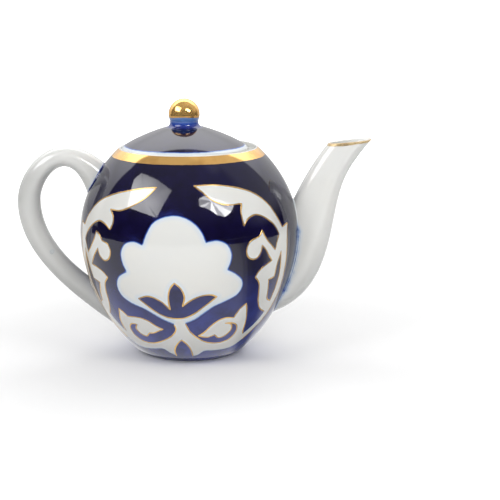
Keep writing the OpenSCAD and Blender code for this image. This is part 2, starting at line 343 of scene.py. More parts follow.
def in_loop(loop, az, z):
    """Even-odd test of points against a closed outline, one height at a time."""
    az0, z0 = loop.T
    az1, z1 = np.roll(loop, -1, axis=0).T
    found = np.zeros(len(az), bool)
    heights, row = np.unique(np.round(z, 4), return_inverse=True)
    order = np.argsort(row, kind="stable")
    starts = np.searchsorted(row[order], np.arange(len(heights) + 1))
    for k, h in enumerate(heights):
        hit = (z0 <= h) != (z1 <= h)
        if hit.any():
            at = np.sort(az0[hit] + (h - z0[hit]) / (z1[hit] - z0[hit]) * (az1[hit] - az0[hit]))
            members = order[starts[k]:starts[k + 1]]
            found[members] = np.searchsorted(at, az[members]) % 2 == 1
    return found


def reach(lines, points):
    """Distance in millimetres from points to the nearest of the lines, given as (azimuth, height)."""
    samples = [on_pot(line[:, 0], line[:, 1])[0] for line in lines]
    before = np.vstack([np.vstack([s[:1], s[:-1]]) for s in samples])
    after = np.vstack([np.vstack([s[1:], s[-1:]]) for s in samples])
    here = np.vstack(samples)
    tree = tree_of(here)
    nearest = np.array([tree.find(p)[1] for p in points])
    best = np.full(len(points), np.inf)
    for other in (before, after):
        a, ab = here[nearest], other[nearest] - here[nearest]
        t = np.clip(((points - a) * ab).sum(1) / np.maximum((ab * ab).sum(1), 1e-9), 0, 1)
        best = np.minimum(best, np.linalg.norm(points - a - ab * t[:, None], axis=1))
    return best


def signed(parts, az, z, points, seam=-1):
    """Distance to an outline, positive inside it. parts is a list of closed outlines; the ones after
    the first are holes in it. The stretch with index seam of the first outline is no real edge."""
    inner = in_loop(loop_of(parts[0]), az, z)
    for hole in parts[1:]:
        inner &= ~in_loop(loop_of(hole), az, z)
    lines = [thread(s[1]) for k, s in enumerate(parts[0]) if k != seam]
    lines += [thread(s[1]) for hole in parts[1:] for s in hole]
    return np.where(inner, 1, -1) * reach(lines, points)


PAINT_LIMIT = 6           # the attribute paint goes from -PAINT_LIMIT to PAINT_LIMIT


def fold(az):
    """Azimuth on the front panel of a point on either panel."""
    return (az - PANEL + 90) % 180 - 90 + PANEL


def paint_of(points):
    """How far, in millimetres of paint edge, each point on the pot lies inside a white area."""
    z = points[:, 2]
    az = fold(np.degrees(np.arctan2(points[:, 0], -points[:, 1])))
    value = np.full(len(points), -PAINT_LIMIT, float)
    near = (z < 109) & (az > -82) & (az < 68)     # just round the frame
    az, z = az[near], z[near]
    on, _ = on_pot(az, z)
    neck = [points[0] for _, points in FRAME].index((-3, 28))
    frame_in = signed([FRAME] + SLITS, az, z, on, neck)
    boll_in = signed([BOLL], az, z, on, len(BOLL) - 1)
    dark = -signed([SEPALS], az, z, on)
    widening = 1 + 0.9 * np.clip((46 - z) / 14, 0, 1)       # the boll's soft edge is wider low down
    boll_in = np.where(boll_in > 0, boll_in / widening, boll_in)
    sharpness = 2.2                                         # of the frame's edge against the boll's
    value[near] = np.maximum(sharpness * np.minimum(frame_in, dark), np.minimum(boll_in, dark))
    return np.clip(value, -PAINT_LIMIT, PAINT_LIMIT)


STROKE_WIDTH, STROKE_HEIGHT = 0.86, 0.15


def gold_strokes():
    """Raised gold lines along the gilded stretches of both panels, as one object."""
    vertices, faces = [], []
    half_turn = np.radians(np.linspace(0, 180, 6))
    for panel in (0, 180):
        for number, (gilded, points) in enumerate(FRAME + SLITS[0] + SLITS[1] + SEPALS):
            if not gilded:
                continue
            line = thread(points, 0.8)
            seed = number + panel / 50
            along = np.concatenate([[0], np.cumsum(np.linalg.norm(np.diff(line, axis=0), axis=1))])
            az = line[:, 0] + panel + 0.10 * wobble(along / 3.1, seed)
            at, up = on_pot(az, line[:, 1] + 0.08 * wobble(along / 2.7, seed + 5), -0.03)
            ahead = unit(np.gradient(at, axis=0))
            side = unit(np.cross(ahead, up))
            width = STROKE_WIDTH / 2 * (1 + 0.2 * wobble(along / 2.3, seed + 9))
            ends = np.minimum(along, along[-1] - along)
            width = width * (0.62 + 0.38 * smooth_step(ends, 0, 0.9))
            # a blunt tip beyond each end
            at = np.vstack([at[:1] - ahead[:1] * 0.25, at, at[-1:] + ahead[-1:] * 0.25])
            side, up = np.vstack([side[:1], side, side[-1:]]), np.vstack([up[:1], up, up[-1:]])
            width = np.pad(width, 1, "edge")
            height = np.full(len(width), STROKE_HEIGHT)
            width[[0, -1]] *= 0.3
            height[[0, -1]] *= 0.3
            rings = (at[:, None] + side[:, None] * (width[:, None] * np.cos(half_turn))[..., None]
                     + up[:, None] * (height[:, None] * np.sin(half_turn))[..., None])
            first, n, m = len(vertices), len(rings), len(half_turn)
            vertices += rings.reshape(-1, 3).tolist()
            faces += belt(n, m, first=first)
            faces += [[first + k for k in range(m)], [first + (n - 1) * m + k for k in range(m)]]
    return new_object("gold_lines", vertices, faces, 60)


# ---------------- materials
class Nodes:
    """The node tree of a new material or world, with short ways to add and join nodes."""

    def __init__(self, name, shader="ShaderNodeBsdfPrincipled", world=False):
        self.made = (bpy.data.worlds if world else bpy.data.materials).new(name)
        self.made.use_nodes = True
        self.tree = self.made.node_tree
        self.tree.nodes.clear()
        self.surface = self.add(shader)
        output = self.add("ShaderNodeOutputWorld" if world else "ShaderNodeOutputMaterial")
        self.feed(output.inputs["Surface"], self.surface.outputs[0])
        self.coordinates = self.add("ShaderNodeTexCoord").outputs

    def feed(self, socket, value):
        """Links a socket to the output value, or sets it to the number or colour value."""
        if isinstance(value, bpy.types.NodeSocket):
            self.tree.links.new(value, socket)
        elif socket.type == "RGBA":
            socket.default_value = (*value, 1)
        else:
            socket.default_value = value

    def add(self, kind, sockets=None, **settings):
        """A new node, with sockets fed by name."""
        node = self.tree.nodes.new(kind)
        for key, value in settings.items():
            setattr(node, key, value)
        for key, value in (sockets or {}).items():
            self.feed(node.inputs[key], value)
        return node

    def set(self, name, value):
        self.feed(self.surface.inputs[name], value)

    def axes(self, kind="Object"):
        """X, Y and Z of each point, in metres for Object."""
        return self.add("ShaderNodeSeparateXYZ", {"Vector": self.coordinates[kind]}).outputs

    def noise(self, scale, detail=3, roughness=0.5, stretch=None):
        at = self.coordinates["Object"]
        if stretch:
            at = self.add("ShaderNodeMapping", {"Vector": at, "Scale": stretch}).outputs[0]
        sockets = {"Vector": at, "Scale": scale, "Detail": detail, "Roughness": roughness}
        return self.add("ShaderNodeTexNoise", sockets).outputs["Fac"]

    def attribute(self, name):
        return self.add("ShaderNodeAttribute", attribute_name=name).outputs["Fac"]

    def math(self, operation, *values, clamp=False):
        node = self.add("ShaderNodeMath", operation=operation, use_clamp=clamp)
        for socket, value in zip(node.inputs, values):
            self.feed(socket, value)
        return node.outputs[0]

    def ramp(self, fac, stops, low=0, high=1):
        """Colours or shades at values of fac between low and high."""
        scaled = self.math("MULTIPLY_ADD", fac, 1 / (high - low), -low / (high - low))
        node = self.add("ShaderNodeValToRGB", {"Fac": scaled})
        elements = node.color_ramp.elements
        while len(elements) < len(stops):
            elements.new(1)
        for element, (at, colour) in zip(elements, stops):
            element.position = (at - low) / (high - low)
            element.color = (*(colour if isinstance(colour, tuple) else (colour,) * 3), 1)
        return node.outputs[0]

    def blend(self, share, a, b):
        """The colour a, turned into the colour b by share."""
        node = self.add("ShaderNodeMix", data_type="RGBA")
        for socket, value in zip((node.inputs[0], node.inputs[6], node.inputs[7]), (share, a, b)):
            self.feed(socket, value)
        return node.outputs[2]

    def bump(self, height, strength, distance):
        sockets = {"Height": height, "Strength": strength, "Distance": distance}
        self.set("Normal", self.add("ShaderNodeBump", sockets).outputs[0])

    def finish(self, colour, grain, smooth, rough):
        """Sets the colour, and a roughness that wanders between smooth and rough."""
        self.set("Base Color", colour)
        self.set("Roughness", self.ramp(self.noise(grain), [(0.3, smooth), (0.7, rough)]))


GLAZE_IOR = 1.6
WHITE, CLOUDY = (0.80, 0.797, 0.765), (0.775, 0.78, 0.765)
BODY_WHITE, BODY_CLOUDY = (0.75, 0.745, 0.71), (0.725, 0.73, 0.71)
PALE = (0.64, 0.71, 0.78)                   # white glaze next to the cobalt
DEEPEST, DEEP = (0.0025, 0.0013, 0.015), (0.0065, 0.0045, 0.042)
THIN_COBALT, HALO = (0.024, 0.044, 0.32), (0.016, 0.022, 0.15)
GOLD, WORN_GOLD = (0.97, 0.58, 0.19), (0.70, 0.36, 0.10)
SEAM_MIN, SEAM_MAX = -4, 8                  # the attribute seam lies between them


def glaze(n, colour, smooth, rough):
    """Glaze that lies in long, shallow waves with a fine orange-peel skin."""
    n.finish(colour, 120, smooth, rough)
    n.set("IOR", GLAZE_IOR)
    n.bump(n.math("ADD", n.noise(38, 2), n.math("MULTIPLY", n.noise(900, 2), 0.035)), 0.5, 0.00035)
    return n.made


def specks(n, scale, size, rarity, strength):
    """Round specks in a few cells of a fine pattern. size and rarity are the ends of soft steps."""
    cells = n.add("ShaderNodeTexVoronoi", {"Vector": n.coordinates["Object"], "Scale": scale}).outputs
    speck = n.ramp(cells["Distance"], [(size[0], 1), (size[1], 0)])
    chosen = n.ramp(cells["Color"], [(rarity[0], 0), (rarity[1], 1)])
    return n.math("MULTIPLY", n.math("MULTIPLY", speck, chosen), strength)


def cobalt_colour(n):
    """Cobalt under the glaze: almost black, with a few bluer specks."""
    deep = n.ramp(n.noise(55, 5, 0.62), [(0.3, DEEPEST), (0.7, DEEP)])
    return n.blend(specks(n, 260, (0.03, 0.09), (0.93, 0.95), 0.5), deep, (0.05, 0.08, 0.30))


def white_colour(n, cloudy, white):
    """Glazed porcelain: faint cloudiness and a few tiny iron specks."""
    body = n.ramp(n.noise(30, 4, 0.6), [(0.3, cloudy), (0.7, white)])
    return n.blend(specks(n, 150, (0.02, 0.05), (0.955, 0.965), 0.55), body, (0.12, 0.11, 0.12))


def painted_material():
    """White porcelain reserved in cobalt, with the edges that the glaze has drawn out."""
    n = Nodes("painted_glaze")
    ragged = n.math("MULTIPLY_ADD", n.noise(620, 3, 0.6), 0.36, -0.18)
    edge = n.math("ADD", n.attribute("paint"), ragged)

    def edge_ramp(*stops):
        return n.ramp(edge, stops, -PAINT_LIMIT, PAINT_LIMIT)

    # the cobalt ran thin near the foot
    thin = n.ramp(n.axes()["Z"], [(0.012, 1), (0.060, 0)])
    thin = n.math("MULTIPLY", thin, n.ramp(n.noise(45, 5, 0.65), [(0.36, 0.35), (0.62, 1)]))
    cobalt = n.blend(thin, cobalt_colour(n), THIN_COBALT)
    patches = n.ramp(n.noise(70, 4, 0.6), [(0.52, 0), (0.68, 0.75)])
    cobalt = n.blend(n.math("MULTIPLY", edge_ramp((-4.5, 0), (-1.2, 1)), patches), cobalt, HALO)
    white = n.blend(edge_ramp((0.45, 1), (3.2, 0)), white_colour(n, BODY_CLOUDY, BODY_WHITE), PALE)
    fringe = edge_ramp((-0.62, (0.006, 0.006, 0.05)), (-0.22, (0.018, 0.04, 0.26)),
                       (0.08, (0.10, 0.21, 0.52)), (0.42, (0.48, 0.60, 0.78)))
    colour = n.blend(edge_ramp((-1.1, 0), (-0.55, 1)), cobalt, fringe)
    return glaze(n, n.blend(edge_ramp((0.30, 0), (0.62, 1)), colour, white), 0.035, 0.065)


def neck_material():
    """The knob's neck: glaze run thin over a pale blue, darkest in its lower groove."""
    n = Nodes("thin_cobalt_glaze")
    height = n.math("ADD", n.axes()["Z"], n.math("MULTIPLY_ADD", n.noise(160), 0.0024, -0.0012))
    stops = [(0.1312, (0.006, 0.006, 0.055)), (0.1325, (0.012, 0.022, 0.20)),
             (0.1345, (0.030, 0.075, 0.36)), (0.1366, (0.09, 0.19, 0.46))]
    return glaze(n, n.ramp(height, stops, 0.12, 0.15), 0.035, 0.07)


def seam_material(name, painted_shade_heights=None):
    """White glaze with a ragged cobalt fringe near attribute seam = 0. Optional (height, shade) pairs paint
    shade into it: the colour is darkened towards near black lower down, where less light falls.
    """
    n = Nodes(name)
    away = n.math("ADD", n.attribute("seam"), n.math("MULTIPLY_ADD", n.noise(260, 3, 0.6), 2.4, -1.2))
    stops = [(0.1, (0.006, 0.008, 0.07)), (0.8, (0.03, 0.07, 0.33)), (1.6, (0.38, 0.49, 0.68)),
             (2.8, (0.70, 0.74, 0.77))]
    fringe = n.ramp(away, stops, SEAM_MIN, SEAM_MAX)
    in_white = n.ramp(away, [(2.2, 0), (4.4, 1)], SEAM_MIN, SEAM_MAX)
    colour = n.blend(in_white, fringe, white_colour(n, CLOUDY, WHITE))
    if painted_shade_heights:
        # painted shade: darker towards the bottom of the piece
        share = n.ramp(n.axes()["Z"], [(z, 1 - shade) for z, shade in painted_shade_heights], 0, 0.15)
        colour = n.blend(share, colour, (0, 0.006, 0.012))
    return glaze(n, colour, 0.05, 0.09)


def gold_material(name, colour, dark, smooth, rough, waves=0.4, metal=0.7, painted_shade_edge=None):
    """Fired gold: thinner and browner in patches, with faint brush marks. Over the given heights of its
    lower edge it turns from a painted dark brown to gold: painted shade and a painted reflection of the dark
    lid below."""
    n = Nodes(name)
    n.set("Metallic", metal)
    gilt = n.blend(n.ramp(n.noise(90, 4, 0.6), [(0.42, 0), (0.72, 0.75)]), colour, dark)
    # painted shade and painted reflection: the gilding is darkened to brown towards its lower edge
    if painted_shade_edge:
        low, high = painted_shade_edge
        z = n.math("ADD", n.axes()["Z"], n.math("MULTIPLY_ADD", n.noise(150), 0.0016, -0.0008))
        gilt = n.blend(n.ramp(z, [(low, 0.85), (high, 0)], 0.1, 0.15), gilt, (0.13, 0.07, 0.03))
    n.finish(gilt, 240, smooth, rough)
    marks = n.noise(500, 2, 0.5, (1, 1, 9))
    n.bump(n.math("ADD", n.noise(60, 2), n.math("MULTIPLY", marks, 0.05)), waves, 0.00025)
    return n.made


def biscuit_material():
    """Bare fired clay of the foot: matt, fine grained, greyed where it wears on the table."""
    n = Nodes("biscuit_foot")
    clay = n.ramp(n.noise(300, 5, 0.65), [(0.3, (0.50, 0.47, 0.42)), (0.7, (0.70, 0.68, 0.62))])
    n.finish(clay, 500, 0.68, 0.86)
    n.bump(n.noise(1800), 0.35, 0.00012)
    return n.made


painted = painted_material()
porcelain = seam_material("porcelain_glaze")
# painted shade: the spout's glaze is darkened below 75 mm, and the handle's all over, most at its lower end
spout_glaze_painted_shade = seam_material("spout_glaze_painted_shade", [(0.030, 0.80), (0.055, 0.92), (0.075, 1.0)])
handle_glaze_painted_shade = seam_material("handle_glaze_painted_shade", [(0.035, 0.62), (0.07, 0.75), (0.103, 0.73), (0.118, 0.92)])
neck_glaze = neck_material()
gold = gold_material("fired_gold", GOLD, WORN_GOLD, 0.07, 0.14)
# the knob's gold is darkened to brown near its lower edge: painted shade and a painted reflection of the
# dark lid
knob_gold = gold_material("knob_gold", GOLD, WORN_GOLD, 0.07, 0.14, metal=0.75, painted_shade_edge=(0.1374, 0.1398))
line_gold = gold_material("gold_line", (0.80, 0.50, 0.17), (0.12, 0.07, 0.035), 0.14, 0.26, 0.2, 0.6)
lip_gold = gold_material("lip_gold", (0.62, 0.46, 0.24), (0.24, 0.15, 0.07), 0.2, 0.34, 0.5, 0.3)
biscuit = biscuit_material()


def place(obj, body, slot, material, *nodes):
    """Gives a piece its body and material, and hides the CAD nodes that it stands for. The record slot is
    not used.
    """
    obj.data.materials.clear()
    obj.data.materials.append(material)
    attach(obj, body)
    if nodes:
        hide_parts(*nodes)


# ---------------- pot
outer_low = run(LOWER, 96)
outer_low = outer_low[outer_low[:, 1] > GLAZE_END]
outer_high = run(UPPER, 72, 1)
pot_profile = np.vstack([
    [(0, 2.6), (6, 2.6), (14, 2.6), (21, 2.6), (22.8, 2.5), (23.6, 2.1), (24, 1.3), (24.3, 0.5)],
    [(26.5, 0.5), (26.85, GLAZE_END - 0.1)], outer_low, outer_high[:-1],
    [(39.72, 120.17), (39.6, 120.4), (39.3, 120.52), (38.95, 120.42), (38.72, 120.15), (38.7, 119.9)],
    [(38.7, 118.4), (38.7, 117.5), (38.5, 117.3), (36, 117.3), (33.9, 117.3), (33.5, 117.1), (33.4, 116.6)],
    run(INNER_UPPER, 22), run(INNER_LOWER, 20, 1), [(10, 6.05), (0, 6)],
])
pot = revolved("teapot_body", pot_profile)
HOLE_R, COLUMN_GAP, ROW_GAP = 1.1, 2.6, 4.6       # of the strainer behind the spout
strainer = [(column * COLUMN_GAP, 44 + row * ROW_GAP)
            for row in range(7) for column in ((-2, 0, 2) if row % 2 else (-1, 1))]
drill(pot, [((30, y, z), (70, y, z), HOLE_R) for y, z in strainer], "teapot_body")
pot_points = points_of(pot)
pot_z = pot_points[:, 2]
outside = (~is_inside(pot_points, 0.4)) & (pot_z > GLAZE_END - 0.1) & (pot_z < BAND_TOP - 0.1)
paint = np.full(len(pot_points), PAINT_LIMIT, float)
paint[outside] = paint_of(pot_points[outside])
set_attribute(pot, "paint", paint)
place(pot, "pot", "cobalt_glaze", painted, "pot_body")
place(gold_strokes(), "pot", "gilding", line_gold)

foot_profile = [(24.2, 0.6), (24.3, 0.3), (24.6, 0.06), (25, 0), (25.8, 0), (26.3, 0.04), (26.6, 0.2),
                (26.7, 0.6)]
foot = revolved("foot_ring", foot_profile, 256)
foot.name = "bare_foot_ring"
place(foot, "pot", "biscuit", biscuit, "foot_ring")

# The gilt band is a thin skin round the collar, with a lower edge drawn by hand
around = full_turn(384)
steps = np.linspace(0, 1, 12)[:, None]
band_z = mix(BAND_LOW + 0.096 * wobble(around * 7, 1), BAND_TOP - 0.1, steps)
swell = 0.02 + 0.06 * np.sin(np.pi * np.clip(steps, 0.04, 0.96)) ** 0.35
band = [on_pot(np.degrees(around), band_z, raised)[0] for raised in (swell, -0.2)]
neck_band = rings_object("neck_gilt_band", np.vstack([band[0], band[1][::-1]]), True)
place(neck_band, "pot", "gilding", gold, "neck_gilding")

# ---------------- lid
LID_Z = 117.4             # height of the ledge that the lid lies on
WHITE_EDGE_Z = 121.6      # the lid is white below this
dome = [(36.1, 120.4), (31.1, 124.4), (20, 129), (11.8, 131.6)]
hollow = [(27.6, LID_Z), (24, 121.6), (16, 126), (7, 127.8)]
lid_profile = np.vstack([
    [(0, 132.2), (6, 132.2), (11.0, 131.75)], run(dome, 64)[::-1],
    [(36.35, 120.0), (36.4, 119.4), (36.3, 118.6), (36.0, 117.9), (35.3, LID_Z)],
    run(hollow, 24), [(0, 128)],
])
lid = revolved("lid_dome", lid_profile, 320, LID_SHIFT)
drill(lid, [((LID_SHIFT, 17, 112), (LID_SHIFT, 17, 140), 1.3)], "lid_dome")
lid_points = points_of(lid)
lid_r = np.hypot(lid_points[:, 0] - LID_SHIFT, lid_points[:, 1])
top_z = np.interp(lid_r, *np.vstack([run(dome, 64)[::-1], [(36.5, 119.4)]]).T)     # of the outside
ragged = 0.12 * wobble(np.arctan2(lid_points[:, 1], lid_points[:, 0]) * 6, 3)
above = lid_points[:, 2] - WHITE_EDGE_Z - ragged
above = np.where(lid_points[:, 2] > top_z - 1, above, -3)
set_attribute(lid, "paint", np.clip(-above * 1.6, -PAINT_LIMIT, PAINT_LIMIT))
place(lid, "lid", "cobalt_glaze", painted, "lid")

flange_profile = [
    (27.6, LID_Z), (30.8, LID_Z), (30.8, 114), (30.5, 110), (30.2, 108), (29.9, 107.3), (29.4, 106.95),
    (28.6, 106.95), (28, 107.3), (27.7, 108.2), (27.6, 112)]
flange = revolved("lid_locating_ring", flange_profile, 256, LID_SHIFT, 60)
set_attribute(flange, "seam", np.full(len(flange.data.vertices), SEAM_MAX, float))
place(flange, "lid", "white_glaze", porcelain, "lid_flange")

KNOB_Z, KNOB_R = 139.3, 9.0
flare = [(11.8, 131.6), (9.6, 131.9), (8.4, 132.8), (8.2, 134.4)]
ball_z = np.linspace(KNOB_Z - 3.5, KNOB_Z + 3.0, 26)
neck_profile = np.vstack([
    [(0, 131.0), (11.9, 131.4)], run(flare, 24),
    np.stack([np.sqrt((KNOB_R - 0.07) ** 2 - (ball_z - KNOB_Z) ** 2), ball_z], axis=1), [(0, KNOB_Z + 3.2)],
])
knob_neck = revolved("knob_neck_flare", neck_profile, 160, LID_SHIFT, 60)
place(knob_neck, "lid", "cobalt_glaze", neck_glaze, "knob_neck")

# The gilding runs down the ball to an uneven edge that was drawn by hand
around = full_turn(160)
edge_z = 137.5 + 0.75 * np.exp(-((np.degrees(around) - 262) / 42) ** 2) + 0.14 * wobble(around * 3, 2)
edge_angle = np.arcsin((edge_z - KNOB_Z) / KNOB_R)
tilt = mix(edge_angle, np.pi / 2, np.linspace(0.985, 0, 60)[:, None])
ball = about(KNOB_R * np.cos(tilt), around, KNOB_R * np.sin(tilt) + KNOB_Z, LID_SHIFT)
rim = about((KNOB_R - 0.15) * np.cos(edge_angle), around, edge_z + 0.05, LID_SHIFT)
knob = rings_object("gilt_knob", np.vstack([ball, rim[None]]), False,
                    ((LID_SHIFT, 0, KNOB_Z + KNOB_R), (LID_SHIFT, 0, KNOB_Z + 2)), 50)
place(knob, "lid", "gilding", knob_gold, "knob")

# ---------------- spout and handle
FRONT = [[(44.5, 22.5), (78.2, 30.9), (80.5, 62.8), (85.6, 86.3)],
         [(85.6, 86.3), (89, 101.9), (92.3, 108.1), (105.3, 123.6)]]
BACK = [(38, 36), (47.4, 57.9), (61.6, 99.1), (80.6, 121.3)]
KNEE = 0.6                # share of the spout below the turn of its front edge
SPOUT_EGG = 0.25          # how far the spout's section narrows towards its back edge
SPOUT_RIDGE = 1.3         # how far the upper spout's back corners are drawn out
VENT_X, VENT_Z, VENT_R = -79.4, 61, 1.25    # the handle's casting vent
ROOT_W, LIP_W = 15, 7.5


def section(outer, inner, w, a, egg=0, ridge=0):
    """Points at angles a on an oval section between two side edges [x, z]; egg narrows its inner end,
    and ridge draws that end's two corners out."""
    along, aside = np.cos(a), np.sin(a)
    power = 2 + np.where(along < 0, ridge, 0)
    to_edge = (np.abs(along) ** power + np.abs(aside) ** power) ** (-1 / power)
    c = (1 + along * to_edge) / 2
    across = w * aside * to_edge * (1 + egg * along)
    return np.stack([mix(inner[:, 0], outer[:, 0], c), across, mix(inner[:, 1], outer[:, 1], c)], axis=-1)


def spout_at(s, a, inset):
    """Points at shares s and angles a of the spout's outside (inset 0), channel (1) or between them."""
    f, b = two_curves(FRONT, s, KNEE), bez(BACK, s)
    wall = inset * mix(3.2, 1.8, s)
    t = unit(f - b) * wall[:, None]
    ridge = SPOUT_RIDGE * smooth_step(s, 0.3, 0.6)
    return section(f - t, b + t, mix(ROOT_W, LIP_W, s) - wall, a, SPOUT_EGG, ridge)


GRIP_OUT = [[(-42, 105), (-74.5, 141), (-99, 108.5), (-99, 89.5)],
            [(-99, 89.5), (-99, 55.5), (-63, 30.5), (-38, 12)]]
GRIP_IN = [[(-56, 84), (-64.5, 128), (-85.7, 105.5), (-85.7, 90.3)],
           [(-85.7, 90.3), (-85.7, 67), (-66, 49.5), (-52, 40)]]


def two_curves(curves, s, knee=0.5):
    """Points at the shares s of two Bezier curves that meet at the share knee."""
    low, high = bez(curves[0], np.minimum(s / knee, 1)), bez(curves[1], np.maximum(s - knee, 0) / (1 - knee))
    return np.where((s < knee)[:, None], low, high)


def handle_at(s, a, _=0):
    """The same for the handle, which is solid and has no inset."""
    return section(two_curves(GRIP_OUT, s), two_curves(GRIP_IN, s), 7.4 + 1.6 * (2 * s - 1) ** 6, a)


def root(shape, a, buried, free, inset=0):
    """Where the lines of a luted piece pass through the pot's surface."""
    low, high = np.full(len(a), float(buried)), np.full(len(a), float(free))
    for _ in range(24):
        s = (low + high) / 2
        inner = is_inside(shape(s, a, inset))
        low, high = np.where(inner, s, low), np.where(inner, high, s)
    return (low + high) / 2


def seam_of(points, line):
    """Distance of each point from a line of points."""
    tree = tree_of(line)
    return np.array([tree.find(p)[2] for p in points])


def fillet(name, shape, a, s, ahead, reach_pot, reach_piece, shades, pale=0):
    """Slip wiped into the corner between a luted piece and the pot, hollow in section. shades are
    the seam values at its two edges, and pale is added to them along the joint."""
    line = shape(s, a, 0)
    slope = pot_radius(line[:, 2] + 0.5) - pot_radius(line[:, 2] - 0.5)
    r = np.hypot(line[:, 0], line[:, 1])
    up = unit(np.stack([line[:, 0] / r, line[:, 1] / r, -slope], axis=1))
    grown = unit(shape(s + ahead, a, 0) - line)
    turn = unit(np.roll(line, -1, axis=0) - np.roll(line, 1, axis=0))
    out = unit(np.cross(turn, up))
    out *= np.sign((out * (line - line.mean(0))).sum(1, keepdims=True))
    uneven = 1 + 0.12 * wobble(a * 5, 3)[:, None]
    foot_point = line + out * reach_pot * uneven - up * 0.02
    head_point = line + grown * reach_piece * uneven - out * 0.05
    corner = line + 0.22 * reach_pot * out + 0.16 * reach_piece * grown
    steps = np.linspace(0, 1, 9)
    rings = [(1 - t) ** 2 * foot_point + 2 * t * (1 - t) * corner + t * t * head_point for t in steps]
    rings += [line - out + grown * 0.3 * reach_piece - up * 0.2, line - out * 0.6 - up * 0.9,
              line + out * 0.4 * reach_pot - up * 0.7]
    obj = rings_object(name, rings, True, sharp=60)
    across = np.concatenate([steps, [1, 0.5, 0]])
    values = (mix(*shades, across)[:, None] + pale + 0 * a).ravel()
    set_attribute(obj, "seam", np.clip(values, SEAM_MIN, SEAM_MAX))
    return obj


def seam_paleness(z):
    """The cobalt gathers in the spout's joint at half height and thins out above and below."""
    return 3.0 * smooth_step(z, 72, 80) + 1.2 * smooth_step(-z, -40, -30) - 0.8


# spout: outside from the pot to the lip, a rounded lip, and the channel back down
a = full_turn(96)
spout_root, channel_root = root(spout_at, a, 0, 0.7), root(spout_at, a, 0, 0.7, 1)
outer = [spout_at(mix(spout_root, 1, t), a, 0) for t in 1 - (1 - np.linspace(0, 1, 84)) ** 1.1]
tip_dir = unit(spout_at(0 * a + 1, a, 0.5) - spout_at(0 * a + 0.98, a, 0.5))


def lip_ring(t, raised):
    """A ring of the lip's rounded edge, from the outside (t = 0) to the channel (t = pi)."""
    return spout_at(0 * a + 1, a, 0.5 - 0.5 * np.cos(t)) + tip_dir * raised


lip = [lip_ring(t, 0.45 * np.sin(t)) for t in (0.7, 1.3, 1.9, 2.5)]
channel = [spout_at(mix(1, channel_root, t), a, 1) for t in np.linspace(0, 1, 44)]
spout = rings_object("spout_shell", np.array(outer + lip + channel), True)
seam_line = spout_at(spout_root, a, 0)
spout_points = points_of(spout)
inner_wall = np.arange(len(spout_points)) >= len(a) * (len(outer) + len(lip))
from_seam = seam_of(spout_points, seam_line) + 0.9 + seam_paleness(spout_points[:, 2])
set_attribute(spout, "seam", np.where(inner_wall, SEAM_MAX, np.minimum(from_seam, 6)))
# painted shade: the spout's glaze is darkened lower down
place(spout, "pot", "white_glaze", spout_glaze_painted_shade, "spout")
spout_joint = fillet("spout_slip_joint", spout_at, a, spout_root, 0.01, 1.3, 1.5, (-1.6, 2.2),
                     seam_paleness(seam_line[:, 2]))
place(spout_joint, "pot", "white_glaze", spout_glaze_painted_shade, "spout_luting")

# gilding on the lip, with a hand-drawn lower edge
low = 0.9885 + 0.003 * wobble(a * 2, 4.0) - 0.005 * np.exp(-((a - 4.3) / 0.5) ** 2)
gilt_rings = []
for t in np.linspace(0, 1, 10):
    s = mix(low, 1, t)
    inward = unit(spout_at(s, a, 1) - spout_at(s, a, 0))
    gilt_rings.append(spout_at(s, a, 0) - inward * (0.03 + 0.09 * np.sin(np.pi * min(t + 0.12, 0.5))))
gilt_rings += [lip_ring(t, 0.09 + 0.47 * np.sin(t)) for t in (0.5, 1.0, 1.5)]
gilt_rings += [spout_at(0 * a + 1, a, 0.5) - tip_dir * 0.3]
gilt_rings += [spout_at(mix(low, 1, t), a, 0.18) for t in (0.8, 0.4, 0.05)]
lip_gilt = rings_object("lip_gilt_line", gilt_rings, True, sharp=50)
place(lip_gilt, "pot", "gilding", lip_gold, "lip_gilding")

# handle: closed at both ends inside the pot's wall
b = full_turn(72)
top, end = root(handle_at, b, 0, 0.2), root(handle_at, b, 1, 0.75)
grip = [handle_at(mix(top, end, t), b) for t in np.linspace(0, 1, 190)]
handle = rings_object("handle_grip", grip, False, (grip[0].mean(0), grip[-1].mean(0)))
drill(handle, [((VENT_X, -20, VENT_Z), (VENT_X, -6.3, VENT_Z), VENT_R)], "handle_grip")
handle_points = points_of(handle)
away = np.minimum(seam_of(handle_points, grip[0]) + 1.6, seam_of(handle_points, grip[-1]) + 5)
from_vent = np.hypot(handle_points[:, 0] - VENT_X, handle_points[:, 2] - VENT_Z)
away[(from_vent < VENT_R + 0.25) & (handle_points[:, 1] < 0)] = 3.1       # painted shade: the vent's hollow is tinted pale grey-blue so it looks darker
set_attribute(handle, "seam", np.minimum(away, 6))
# painted shade: the handle's glaze is darkened, most at its lower end
place(handle, "pot", "white_glaze", handle_glaze_painted_shade, "handle")
joint_top = fillet("handle_slip_joint_top", handle_at, b, top, 0.01, 0.9, 1.2, (-3, 1.6))
joint_low = fillet("handle_slip_joint_low", handle_at, b, end, -0.01, 1.0, 1.4, (0.6, 6))
place(joint_top, "pot", "white_glaze", porcelain, "handle_luting")
place(joint_low, "pot", "white_glaze", handle_glaze_painted_shade, "handle_luting")


# ---------------- floor, lights, camera
CAM_AIM, CAM_RISE, CAM_ROLL = Vector((0, 0, 0.075)), math.radians(10.24), math.radians(-0.6)
CAM_AT = CAM_AIM + Vector((0, -math.cos(CAM_RISE), math.sin(CAM_RISE)))
TABLE_R = 0.72                          # the mirrored white table's reach, in metres
FAR_R = 8.8                             # the mirrored room's reach
SWEEP_LEFT, SWEEP_RIGHT = -113, 119.5   # azimuths of the white sweep's edges
SWEEP_TOP = 2.3                         # how steeply its upper edge is seen
SHADE_AT, SHADE_WIDTH = 64, 15          # azimuth and width of the table's shaded part


